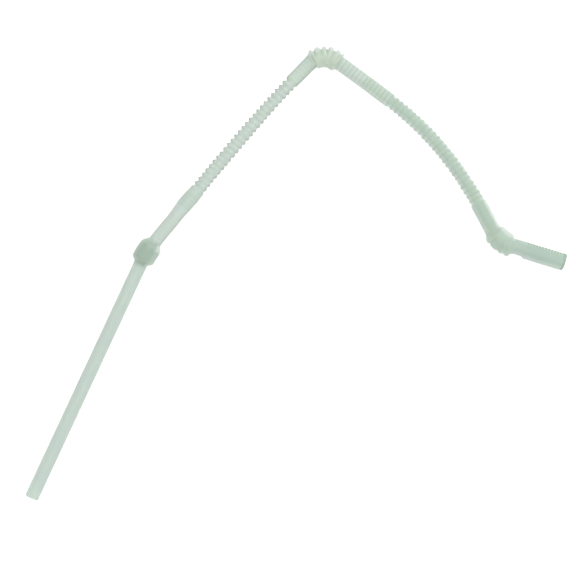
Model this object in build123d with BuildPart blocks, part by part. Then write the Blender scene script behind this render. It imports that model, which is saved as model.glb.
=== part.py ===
from build123d import *
from math import radians
import os

# Flexible drinking straw, about 500 mm long, moulded in one piece and bent by hand into a hook
# It lies flat on its three knuckles, with its centre line in one level plane
# Lengths are in millimetres and angles in degrees, from the lower end to the mouth

# Wall, measured across the tube at its narrowest rings
wall = 0.45

# Leg that stands in the drink
leg_length = 150.0
leg_radius = 4.0
leg_heading = 65.0

# Knuckles, the wide bellows that take the sharp bends
knuckle_crest = 6.75
knuckle_root = 5.5
knuckle_pitch = 2.95

# Lower knuckle, pushed shut, so that only its shoulders show
shut_length = 14.0
shut_shoulder = 2.4
shut_turn = 13.5

# Opened pleats of the two long stretches
pleat_crest = 4.3
pleat_root = 3.4
pleat_pitch = 4.4

# Rising stretch, with a plain swollen tube below its opened pleats
neck_radius = 3.9
swell_radius = 4.65
swell_start = 23.0
swell_ramp = 4.0
rise_bottom = 39.5
rise_pleats = 19
rise_top = 15.0
rise_turn = 4.0

# Elbow, with a knuckle that starts a little way into the bend
elbow_radius = 11.5
elbow_turn = 84.5
elbow_pleats = 6
elbow_lead = 2.3

# Falling stretch, with its first pleats folded shut
fall_top = 40.2
fall_pleats = 18
fall_bottom = 17.5
fall_radius = 4.7
fall_turn = 25.3

# Mouth knuckle and mouthpiece
bend_radius = 17.6
bend_turn = 45.2
bend_pleats = 5
bend_lead = 1.0
mouth_neck_radius = 4.45
mouth_neck_length = 6.5
mouth_step = 1.2
mouth_radius = 5.15
mouth_length = 23.5

# Lengths of the pleated stretches and of the bends
rise_pleated = rise_pleats * pleat_pitch
fall_pleated = fall_pleats * pleat_pitch
elbow_length = elbow_radius * radians(elbow_turn)
bend_length = bend_radius * radians(bend_turn)

# Where each stretch starts, as a distance along the centre line
shut_start = leg_length
rise_start = shut_start + shut_length
swell_top = rise_start + swell_start + swell_ramp
rise_pleats_start = rise_start + rise_bottom
rise_pleats_end = rise_pleats_start + rise_pleated
elbow_start = rise_pleats_end + rise_top
elbow_knuckle = elbow_start + elbow_lead
elbow_knuckle_end = elbow_knuckle + elbow_pleats * knuckle_pitch
fall_start = elbow_start + elbow_length
fall_pleats_start = fall_start + fall_top
fall_pleats_end = fall_pleats_start + fall_pleated
bend_start = fall_pleats_end + fall_bottom
bend_knuckle = bend_start + bend_lead
bend_knuckle_end = bend_knuckle + bend_pleats * knuckle_pitch
bend_end = bend_start + bend_length
step_start = bend_knuckle_end + mouth_neck_length
mouth_start = step_start + mouth_step
mouth_end = mouth_start + mouth_length

# Centre line, as straight runs joined by tangent arcs
with BuildLine() as centre_line:
    leg = PolarLine((0, 0), leg_length, leg_heading)
    shut_bend = JernArc(leg @ 1, leg % 1, shut_length / radians(shut_turn), -shut_turn)
    rise_radius = (elbow_start - rise_start) / radians(rise_turn)
    rise = JernArc(shut_bend @ 1, shut_bend % 1, rise_radius, -rise_turn)
    elbow = JernArc(rise @ 1, rise % 1, elbow_radius, -elbow_turn)
    fall = Line(elbow @ 1, elbow @ 1 + (elbow % 1) * fall_top)
    droop = JernArc(fall @ 1, fall % 1, fall_pleated / radians(fall_turn), -fall_turn)
    drop = Line(droop @ 1, droop @ 1 + (droop % 1) * fall_bottom)
    mouth_bend = JernArc(drop @ 1, drop % 1, bend_radius, bend_turn)
    mouth = Line(mouth_bend @ 1, mouth_bend @ 1 + (mouth_bend % 1) * (mouth_end - bend_end))
path = centre_line.wires()[0]


def across(distance):
    """The plane across the straw at a distance along its centre line."""
    return Plane(path.location_at(distance, position_mode=PositionMode.LENGTH))


def bellows(start, pitch, count, middle, edge):
    """Rings of a pleated stretch after its first edge: the middle and the far edge of each pleat."""
    rings = []
    for pleat in range(count):
        rings.append((start + (pleat + 0.5) * pitch, middle))
        rings.append((start + (pleat + 1) * pitch, edge))
    return rings


def evenly(start, end, count, radius):
    """Rings of one radius that split a curved stretch into equal spans."""
    return [(start + (end - start) * span / count, radius) for span in range(count + 1)]


# Outer skin, where each ring is a distance along the centre line and a radius
outside = [(0, leg_radius), (shut_start, leg_radius)]
outside += [(shut_start + shut_shoulder, knuckle_crest), (rise_start - shut_shoulder, knuckle_crest)]
outside += [(rise_start, neck_radius), (rise_start + swell_start, neck_radius)]
outside += [(swell_top, swell_radius), (rise_pleats_start, pleat_crest)]
outside += bellows(rise_pleats_start, pleat_pitch, rise_pleats, pleat_root, pleat_crest)
outside += [(elbow_knuckle, pleat_crest)]
outside += bellows(elbow_knuckle, knuckle_pitch, elbow_pleats, knuckle_crest, knuckle_root)[:-1]
outside += [(elbow_knuckle_end, pleat_crest), (fall_pleats_start, pleat_crest)]
outside += bellows(fall_pleats_start, pleat_pitch, fall_pleats, pleat_root, pleat_crest)
outside += [(bend_knuckle, fall_radius)]
outside += bellows(bend_knuckle, knuckle_pitch, bend_pleats, knuckle_crest, knuckle_root)[:-1]
outside += [(bend_knuckle_end, mouth_neck_radius), (step_start, mouth_neck_radius)]
outside += [(mouth_start, mouth_radius), (mouth_end, mouth_radius)]

# Bore, smooth inside the pleats and wider inside the knuckles, whose folded skin is two walls thick
leg_bore = leg_radius - wall
pleat_bore = pleat_root - wall
knuckle_bore = knuckle_root - 2 * wall
mouth_neck_bore = mouth_neck_radius - wall
mouth_bore = mouth_radius - wall
inside = [(0, leg_bore), (shut_start, leg_bore), (rise_start, neck_radius - wall)]
inside += evenly(rise_pleats_start, elbow_knuckle, 2, pleat_bore)
inside += evenly(elbow_knuckle, elbow_knuckle_end, 3, knuckle_bore)[1:-1]
inside += [(elbow_knuckle_end, pleat_bore)]
inside += evenly(fall_pleats_start, fall_pleats_end, 5, pleat_bore)
inside += [(bend_knuckle, pleat_bore)]
inside += evenly(bend_knuckle, bend_knuckle_end, 2, knuckle_bore)[1:-1]
inside += [(bend_knuckle_end, mouth_neck_bore), (step_start, mouth_neck_bore)]
inside += [(mouth_start, mouth_bore), (mouth_end, mouth_bore)]

with BuildPart() as straw:
    for distance, radius in outside:
        with BuildSketch(across(distance)):
            Circle(radius)
    loft(ruled=True)
    for distance, radius in inside:
        with BuildSketch(across(distance)):
            Circle(radius)
    loft(ruled=True, mode=Mode.SUBTRACT)

# Origin at the middle of the straw's box, on the surface that it lies on
box = straw.part.bounding_box()
straw.part.move(Location((-box.center().X, -box.center().Y, -box.min.Z)))
straw.part.label = "straw"

os.makedirs("parts", exist_ok=True)
export_step(straw.part, "parts/straw.step")
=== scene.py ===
import math
import random

import bmesh
import bpy
from mathutils import Matrix, Vector


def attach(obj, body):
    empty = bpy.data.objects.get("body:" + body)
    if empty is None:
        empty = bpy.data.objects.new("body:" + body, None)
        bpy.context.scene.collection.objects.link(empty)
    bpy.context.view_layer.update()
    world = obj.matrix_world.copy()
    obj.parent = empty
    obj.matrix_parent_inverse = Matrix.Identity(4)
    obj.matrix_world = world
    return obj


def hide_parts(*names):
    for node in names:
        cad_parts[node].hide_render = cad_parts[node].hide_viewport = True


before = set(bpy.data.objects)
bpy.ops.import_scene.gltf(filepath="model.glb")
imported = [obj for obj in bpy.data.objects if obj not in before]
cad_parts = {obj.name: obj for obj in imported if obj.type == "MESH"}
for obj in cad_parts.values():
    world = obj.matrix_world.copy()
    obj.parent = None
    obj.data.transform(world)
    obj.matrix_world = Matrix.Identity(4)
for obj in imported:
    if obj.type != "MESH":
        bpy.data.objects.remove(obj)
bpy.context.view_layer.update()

# Straw: one long tube of milky low-density polyethylene, blown into mould blocks that form its
# pleats, then bent by hand into a hook. Each stretch is drawn out ring by ring along the centre
# line, outside and bore alike, and welded to the stretch before it. Sizes are in millimetres.
tube = bmesh.new()
tube.verts.layers.float_color.new("tint")
wall = 0.45

# the centre line, as runs of a length and a turn in degrees, from the lower end to the mouth
lower_end = Vector((-153.408, -130.802, 6.75))
heading = 65
elbow_radius, elbow_turn = 11.5, 84.5
mouth_bend_radius, mouth_bend_turn = 17.6, 45.2
route = [
    (150, 0),  # leg
    (14, -13.5),  # lower knuckle
    (138.1, -4),  # rising stretch
    (elbow_radius * math.radians(elbow_turn), -elbow_turn),
    (40.2, 0),  # shut folds at the top of the falling stretch
    (79.2, -25.3),  # its opened pleats
    (17.5, 0),  # its end
    (mouth_bend_radius * math.radians(mouth_bend_turn), mouth_bend_turn),
    (40, 0),  # neck and mouthpiece
]
# how far the tube, bent by hand, strays to the left of that line, at distances along it
strays = [
    (0, 0), (150, 0), (165, -0.3), (172, -0.29), (180, -0.5), (187, -0.32), (192, -0.28),
    (199, -0.57), (205, -0.6), (213, -0.42), (262, -0.38), (272, -0.42), (278, -0.55),
    (284, -0.72), (289, -0.95), (296, -1.2), (302, -1.4), (312, -1.0), (318, -0.55),
    (326, -0.12), (342, 0.1), (426, 0.12), (432, 0.35), (438, 0.48), (446, 0.6),
    (462, 0.6), (467, 0.15), (471, 0.1), (480, 0), (510, 0),
]


def place(distance):
    """The frame across the straw at a distance along it: X runs along the straw and Z points up."""
    spot = Matrix.Translation(lower_end) @ Matrix.Rotation(math.radians(heading), 4, "Z")
    remaining = distance
    for length, turn in route:
        run = min(remaining, length)
        angle = math.radians(turn) * run / length
        if turn:
            bend = length / math.radians(turn)
            step = (bend * math.sin(angle), bend * (1 - math.cos(angle)), 0)
            spot = spot @ Matrix.Translation(step)
            spot = spot @ Matrix.Rotation(angle, 4, "Z")
        else:
            spot = spot @ Matrix.Translation((run, 0, 0))
        remaining -= run
        if remaining <= 0:
            break
    for (before, near), (after, far) in zip(strays, strays[1:]):
        if before <= distance < after:
            stray = near + (far - near) * (distance - before) / (after - before)
            spot = spot @ Matrix.Translation((0, stray, 0))
    return spot


def linear(colour):
    """The linear colour of an sRGB hex value."""
    parts = [int(colour[at:at + 2], 16) / 255 for at in (1, 3, 5)]
    parts = [part / 12.92 if part <= 0.04045 else ((part + 0.055) / 1.055) ** 2.4 for part in parts]
    return parts + [1]


# how many sides the round tube has, and how its two edges are tinted as it is seen from above:
# a pale edge, part stretched wall and part painted light, sets in at one share of the half width,
# a dark one, a painted shade, further out, and both blend in
round_sides = 40
pale_edge, painted_shade_edge, edge_blend = 0.45, 0.62, 0.28
pale_wall_and_painted_light = linear("#f4fdf8")


def draw_out(rings, colour, groove=None, thinning_and_painted_light=(0.0, 0.0, 0.0, 0.0)):
    """Draws a stretch of the tube through rings, each a distance along it and a radius, or where it
    isn't round a distance, a half width, a shift to the left, a rise from root to crest and a half
    height. groove is the colour of the roots. The last argument tells how far the edges, as seen
    from above, are painted pale at the crests on the left and right and at the roots on the left
    and right, part stretched wall and part painted light, or below zero how far they are painted
    darker there, a painted shade."""
    crest, root = linear(colour), linear(groove or colour)
    for inset in (0.0, wall):
        skin = bmesh.new()
        tint = skin.verts.layers.float_color.new("tint")
        upright = Matrix.Rotation(math.pi / 2, 4, "Y")
        bmesh.ops.create_circle(skin, segments=round_sides, radius=1.0, matrix=upright)
        rim, corners = list(skin.edges), list(skin.verts)
        spot = Matrix.Identity(4)
        for number, ring in enumerate(rings):
            full_ring = ring if len(ring) == 5 else (*ring, 0.0, 1.0, ring[1])
            distance, radius, aside, rise, height = full_ring
            following = place(distance) @ Matrix.Translation((0, aside, 0))
            following = following @ Matrix.Diagonal((1, radius - inset, height - inset, 1))
            if number:
                drawn = bmesh.ops.extrude_edge_only(skin, edges=rim)["geom"]
                corners = [part for part in drawn if isinstance(part, bmesh.types.BMVert)]
                rim = [part for part in drawn if isinstance(part, bmesh.types.BMEdge)]
                rim = [part for part in rim if set(part.verts) <= set(corners)]
            bmesh.ops.transform(skin, matrix=following @ spot.inverted(), verts=corners)
            back = following.inverted()
            plain = [low + (high - low) * rise for low, high in zip(root, crest)]
            for corner in corners:
                # the edges as seen from above are painted paler, part stretched wall and part
                # painted light, and darker where the amount is below zero, a painted shade
                side = (back @ corner.co).y
                at_crest, at_root = (thinning_and_painted_light[0], thinning_and_painted_light[2]) if side > 0 else (thinning_and_painted_light[1], thinning_and_painted_light[3])
                pale = at_root + (at_crest - at_root) * rise
                edge = pale_edge if pale > 0 else painted_shade_edge
                ease = min(max((abs(side) - edge) / edge_blend, 0), 1)
                pale *= ease ** 2 * (3 - 2 * ease)
                corner[tint] = [part + (top - part if pale > 0 else part) * pale
                                for part, top in zip(plain, pale_wall_and_painted_light)]
            spot = following
        if inset:
            bmesh.ops.reverse_faces(skin, faces=skin.faces)
        stretch_mesh = bpy.data.meshes.new("stretch")
        skin.to_mesh(stretch_mesh)
        skin.free()
        tube.from_mesh(stretch_mesh)
        bpy.data.meshes.remove(stretch_mesh)


chance = random.Random(7)


def pleats(start, end, count, root, crest, shape, uneven=0.0, aside=0.0, growth=0.0, level=1.0):
    """Rings of a row of pleats, which ends as it starts. shape gives the rings of one pleat, each a
    share of its pitch and of its rise. uneven tells how far pitches and depths vary by chance,
    aside shifts the roots to the left, growth widens the row towards its end or below zero narrows
    it, and level is the share of the depth that shows on top."""
    pitch = (end - start) / count
    rings = []
    for pleat in range(count + 1):
        shift = uneven * pitch * chance.uniform(-1, 1)
        depth = (crest - root) * (1 - uneven * chance.uniform(0, 2) * (0 < pleat < count))
        for along, rise in shape if pleat < count else shape[:1]:
            offset = shift * math.sin(math.pi * along)
            low = depth * (1 - rise)
            full = crest + growth * (pleat + along) / count
            distance = start + (pleat + along) * pitch + offset
            rings.append((distance, full - low, aside * (1 - rise), rise, full - low * level))
    return rings


def lean(rings, aside, taller):
    """The same rings, shifted to the left and with their half heights changed, as a bend leaves
    them."""
    return [(distance, radius, shift + aside, rise, height + taller)
            for distance, radius, shift, rise, height in rings]


# an opened pleat has straight sides and a small rounding at its crest and root, a ridged one is
# thin and far from the next, a lobed one is round on top, and a band is a faint swelling
opened = ((0.0, 1.0), (0.08, 0.9), (0.43, 0.08), (0.5, 0.0), (0.57, 0.08), (0.92, 0.9))
ridged = ((0.0, 1.0), (0.08, 0.72), (0.22, 0.25), (0.5, 0.0), (0.78, 0.25), (0.92, 0.72))
lobed = (
    (0.0, 1.0), (0.15, 0.93), (0.32, 0.6), (0.43, 0.15),
    (0.5, 0.0), (0.57, 0.15), (0.68, 0.6), (0.85, 0.93),
)
band = ((0.0, 0.0), (0.25, 0.7), (0.5, 1.0), (0.75, 0.7))

# leg, plain, with the edge of its cut end eased
leg = [(0.0, 3.92), (0.12, 4.0)]
leg += [(step * 2.5, 4.0) for step in range(1, 60)]
leg += [(149.6, 4.0)]
draw_out(leg, "#e0ede6")

# lower knuckle, pushed shut, a bell whose folds show only as faint lines
bell = [(149.6, 4.0), (150.2, 4.25), (150.7, 4.9), (151.2, 5.6), (151.8, 6.2), (152.5, 6.6)]
bell += pleats(153.1, 160.3, 5, 6.68, 6.73, band)
# its edges are painted pale, most on the right, a painted light
draw_out(bell, "#c1d3c6", "#b7cabc", thinning_and_painted_light=(0.12, 0.3, 0.05, 0.2))
shoulder = [(160.3, 6.68), (161.2, 6.62), (161.9, 6.35), (162.5, 6.0)]
shoulder += [(163.0, 5.6), (163.6, 4.95), (164.2, 4.45)]
# the right of the shoulder is painted nearly white, a painted highlight, and its left a little
# paler, a painted light
draw_out(shoulder, "#c5d6c9", thinning_and_painted_light=(0.15, 0.95, 0.0, 0.0))

# rising stretch, faintly banded and swollen for a short way
draw_out([(164.2, 4.45), (164.9, 4.12), (165.4, 3.95)], "#d6e4da")
swell = pleats(165.4, 183.0, 8, 3.95, 4.05, band)
swell += [(184.5, 4.02), (186.5, 4.15), (189.0, 4.36), (190.6, 4.48)]
# its edges are painted darker, a painted shade
draw_out(swell, "#e6f1eb", "#dfece4", thinning_and_painted_light=(-0.12, -0.15, -0.12, -0.15))
upper_swell = [(190.6, 4.48)]
upper_swell += pleats(191.6, 198.8, 3, 4.53, 4.6, band)
upper_swell += [(201.0, 4.33), (202.4, 4.27), (203.5, 4.27)]
# its edges are painted darker, a painted shade
draw_out(upper_swell, "#e0efe6", "#dbeae1", thinning_and_painted_light=(-0.15, -0.1, -0.15, -0.1))

# its opened pleats, deeper from the ninth on, and the banded tube above them
# the roots are painted paler than the crests, painted light through the grooves, and the edges
# darker, most at the crests, a painted shade
rising_looks = ("#dfece4", "#e5f1e9", (-0.38, -0.3, -0.1, -0.05))
draw_out(
    pleats(203.5, 229.0, 8, 3.2, 4.27, opened, uneven=0.06, aside=-0.2, growth=0.1, level=0.4),
    *rising_looks,
)
draw_out(
    pleats(229.0, 287.1, 18, 3.05, 4.37, opened, uneven=0.06, aside=-0.22, growth=-0.22, level=0.4),
    *rising_looks,
)
rise_top = [(287.1, 4.15)]
rise_top += pleats(287.9, 302.9, 6, 4.05, 4.14, band, growth=0.15)
rise_top += [(304.2, 4.6)]
# its edges are painted darker, a painted shade
draw_out(rise_top, "#e6f3e8", "#ddebdf", thinning_and_painted_light=(-0.2, -0.24, -0.2, -0.24))

# elbow, whose knuckle is pulled open on the outside of the bend
elbow = [(304.2, 4.6), (304.7, 4.95, 0.0, 1.0, 5.1), (305.2, 5.4, 0.1, 1.0, 5.9)]
elbow_folds = pleats(305.7, 321.6, 5, 5.1, 6.1, lobed, uneven=0.12, aside=-0.95, level=0.12)
elbow += lean(elbow_folds, aside=0.15, taller=0.6)
elbow += [(322.1, 5.1, 0.0, 1.0, 5.5), (322.5, 4.5)]
# its edges are painted pale, most at the crests on the outside of the bend, part stretched wall and
# part painted light
draw_out(elbow, "#e0eddd", "#dceada", thinning_and_painted_light=(0.95, 0.3, 0.4, 0.2))

# falling stretch, folded shut at first, then ridged where it droops, then banded
# in these folds the roots are painted darker, part folds lying on each other and part painted shade
# in the creases, and the edges paler, most on the right, a painted light
shut_folds = [(322.5, 4.5)]
shut_folds += pleats(323.1, 340.8, 7, 4.12, 4.26, band)
draw_out(shut_folds, "#e8f2ea", "#cfdfd3", thinning_and_painted_light=(0.1, 0.4, 0.05, 0.3))
lower_folds = pleats(340.8, 358.6, 7, 4.12, 4.26, band)
lower_folds += [(359.26, 4.35)]
draw_out(lower_folds, "#dfebe2", "#c6d9ca", thinning_and_painted_light=(0.25, 0.5, 0.2, 0.4))
ridges = pleats(
    359.26, 438.46, 25, 3.4, 4.35, ridged, uneven=0.08, aside=-0.02, growth=0.3, level=0.3
)
# the roots are painted paler than the crests, painted light through the grooves, and paler still at
# the edges, a painted light
draw_out(ridges, "#ccddd0", "#d2e3d6", thinning_and_painted_light=(0.0, 0.1, 0.45, 0.6))
fall_end = [(438.46, 4.65)]
fall_end += pleats(439.0, 455.8, 7, 4.66, 4.72, band)
# its edges are painted pale, most on the left, a painted light
draw_out(fall_end, "#cbddd0", "#c7dacd", thinning_and_painted_light=(0.8, 0.45, 0.8, 0.45))

# mouth knuckle, whose folds lie close on the inside of the bend and open on its outside
mouth_knuckle = [
    (455.8, 4.66), (456.3, 5.0, 0.3, 1.0, 4.85), (457.0, 5.5, 0.4, 1.0, 5.3),
    (457.8, 6.1, 0.35, 1.0, 5.9), (458.6, 6.5, 0.2, 1.0, 6.35),
]
mouth_folds = pleats(459.4, 469.9, 3, 6.25, 6.75, lobed, uneven=0.2, aside=0.4, level=0.2)
mouth_knuckle += lean(mouth_folds, aside=0.1, taller=-0.05)
mouth_knuckle += [(470.4, 6.2), (470.8, 5.5), (471.1, 5.0)]
# its edges are painted pale, most on the left, the inside of the bend, a painted light
draw_out(mouth_knuckle, "#cfe1d2", "#cedfd1", thinning_and_painted_light=(0.8, 0.2, 0.8, 0.15))

# neck and mouthpiece, with faint ribs and an eased rim
neck = [
    (471.1, 5.0), (471.7, 4.7, 0.1, 1.0, 4.7), (472.6, 4.52, 0.3, 1.0, 4.6),
    (473.8, 4.45, 0.5, 1.0, 4.6), (477.8, 4.45, 0.5, 1.0, 4.6),
    (478.4, 4.6, 0.35, 1.0, 4.7), (479.1, 4.9),
]
# its right edge is painted pale, a painted light
draw_out(neck, "#cfe0d7", thinning_and_painted_light=(0.05, 0.25, 0.0, 0.0))
mouth = [(479.1, 4.9)]
mouth += pleats(479.5, 501.0, 12, 4.92, 4.97, band, growth=0.1)
# its edges are painted pale, a painted light, and on the left darker at the roots, a painted shade
draw_out(mouth, "#c8dacf", "#cadcd1", thinning_and_painted_light=(0.35, 0.5, -0.6, 0.55))
mouth_rim = [
    (501.0, 5.02), (501.8, 5.03, 0.05, 1.0, 5.07),
    (502.5, 4.95, 0.12, 1.0, 5.05), (502.91, 4.75, 0.2, 1.0, 4.95),
]
draw_out(mouth_rim, "#b3c6ba")

# the stretches are welded, and the wall is closed between skin and bore at both ends
weld_distance = 0.003
bmesh.ops.remove_doubles(tube, verts=tube.verts, dist=weld_distance)
rims = [part for part in tube.edges if part.is_boundary]
bmesh.ops.bridge_loops(tube, edges=[part for part in rims if part.verts[0].co.x < 0])
bmesh.ops.bridge_loops(tube, edges=[part for part in rims if part.verts[0].co.x > 0])
bmesh.ops.recalc_face_normals(tube, faces=tube.faces)
millimetre = 0.001
bmesh.ops.scale(tube, vec=(millimetre, millimetre, millimetre), verts=tube.verts)
for face in tube.faces:
    face.smooth = True
straw_mesh = bpy.data.meshes.new("straw_tube")
tube.to_mesh(straw_mesh)
tube.free()
straw = bpy.data.objects.new("straw_tube", straw_mesh)
bpy.context.scene.collection.objects.link(straw)


def add(tree, kind, links=None, **settings):
    """Adds a node, with its settings, the values of its sockets and what feeds them."""
    node = tree.nodes.new(kind)
    for name, value in settings.items():
        setattr(node, name, value)
    for socket, value in (links or {}).items():
        if isinstance(value, bpy.types.NodeSocket):
            tree.links.new(value, node.inputs[socket])
        else:
            node.inputs[socket].default_value = value
    return node


# Milky low-density polyethylene, as moulded: a soft satin skin over a cloudy wall that light
# # passes through, greener where folds lie on each other, with painted light and shade in its tint:
# # paler edges, part stretched wall and part painted light, and darker edges, a painted shade
milky = bpy.data.materials.new("milky_polyethylene")
milky.use_nodes = True
tree = milky.node_tree
shader = tree.nodes["Principled BSDF"]
where = add(tree, "ShaderNodeTexCoord").outputs["Object"]
tint = add(tree, "ShaderNodeAttribute", attribute_name="tint").outputs["Color"]
# the cloudiness drifts between a cooler and a warmer white in patches 11 mm across, 90 to a metre
cloud = add(tree, "ShaderNodeTexNoise", {"Vector": where, "Scale": 90.0, "Detail": 2.0})
# a colour mix takes its two colours at these sockets and gives the mixed one at this output
colour_a, colour_b, mixed = 6, 7, 2
white = add(
    tree, "ShaderNodeMix",
    {"Factor": cloud.outputs["Fac"], colour_a: linear("#f8fcff"), colour_b: linear("#fdfff5")},
    data_type="RGBA",
).outputs[mixed]
body = add(
    tree, "ShaderNodeMix", {"Factor": 1.0, colour_a: tint, colour_b: white},
    data_type="RGBA", blend_type="MULTIPLY",
).outputs[mixed]
tree.links.new(body, shader.inputs["Base Color"])
shader.inputs["Roughness"].default_value = 0.38
shader.inputs["IOR"].default_value = 1.51
shader.inputs["Transmission Weight"].default_value = 0.35
shader.inputs["Subsurface Weight"].default_value = 0.6
shader.inputs["Subsurface Radius"].default_value = (1.0, 1.05, 1.0)
shader.inputs["Subsurface Scale"].default_value = 0.0008
# the mould's own grain is finer than a pixel, so it is drawn coarser, 0.7 mm across and 0.04 deep
grain = add(tree, "ShaderNodeTexNoise", {"Vector": where, "Scale": 1400.0, "Detail": 2.0})
bump = add(
    tree, "ShaderNodeBump",
    {"Height": grain.outputs["Fac"], "Strength": 0.25, "Distance": 0.00004},
)
tree.links.new(bump.outputs["Normal"], shader.inputs["Normal"])
straw.data.materials.append(milky)
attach(straw, "root")
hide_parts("straw")

# Floor: a wide sheet of matt white paper that the straw lies on. It takes the straw's soft shadow,
# and a little light of its own brings it up to white where it is seen.
sheet = bmesh.new()
bmesh.ops.create_grid(sheet, x_segments=1, y_segments=1, size=3.0)
floor_mesh = bpy.data.meshes.new("floor")
sheet.to_mesh(floor_mesh)
sheet.free()
floor = bpy.data.objects.new("floor", floor_mesh)
bpy.context.scene.collection.objects.link(floor)
# Matt white paper, uncoated: it spreads light evenly and has next to no sheen
paper = bpy.data.materials.new("matt_white_paper")
paper.use_nodes = True
tree = paper.node_tree
shader = tree.nodes["Principled BSDF"]
shader.inputs["Base Color"].default_value = linear("#e8e8e8")
shader.inputs["Roughness"].default_value = 0.9
shader.inputs["Specular IOR Level"].default_value = 0.1
own_light = 0.55
seen = add(tree, "ShaderNodeLightPath").outputs
mirrored = add(
    tree, "ShaderNodeMath",
    {0: seen["Is Glossy Ray"], 1: seen["Is Transmission Ray"]}, operation="MAXIMUM",
).outputs[0]
shown = add(
    tree, "ShaderNodeMath", {0: mirrored, 1: seen["Is Camera Ray"]}, operation="MAXIMUM",
).outputs[0]
glow = add(tree, "ShaderNodeMath", {0: shown, 1: own_light}, operation="MULTIPLY").outputs[0]
tree.links.new(glow, shader.inputs["Emission Strength"])
shader.inputs["Emission Color"].default_value = (1, 1, 1, 1)
floor.data.materials.append(paper)

# Light: daylight from all round, one large soft lamp straight above, and a smaller one low down
# at the upper right of the view. Each lamp faces the origin, on the floor inside the hook.
world = bpy.data.worlds.new("daylight")
bpy.context.scene.world = world
world.use_nodes = True
sky = world.node_tree.nodes["Background"]
sky.inputs["Color"].default_value = (1, 1, 1, 1)
sky.inputs["Strength"].default_value = 0.92
lamps = (
    ("ceiling_lamp", 4.0, 1.2, (0, 0, 1.6)),
    ("window", 1.2, 0.4, (0.62, 0.42, 0.42)),
)
for name, energy, size, position in lamps:
    lamp = bpy.data.lights.new(name, "AREA")
    lamp.energy = energy
    lamp.size = size
    lamp_object = bpy.data.objects.new(name, lamp)
    bpy.context.scene.collection.objects.link(lamp_object)
    lamp_object.location = position
    lamp_object.rotation_euler = (-lamp_object.location).to_track_quat("-Z", "Y").to_euler()

# Camera: it looks straight down on the straw, and the picture, 576 pixels wide, takes in 334 mm
# at the height of the tube's centre line
picture_width = 0.33408
view_x, view_y = -0.0047, -0.0093
centre_line_height = 0.00675
camera = bpy.data.cameras.new("camera")
camera.sensor_width = 36
camera.lens = 110
camera_object = bpy.data.objects.new("camera", camera)
bpy.context.scene.collection.objects.link(camera_object)
camera_height = centre_line_height + picture_width * camera.lens / camera.sensor_width
camera_object.location = (view_x, view_y, camera_height)
bpy.context.scene.camera = camera_object
bpy.context.scene.view_settings.view_transform = "Standard"
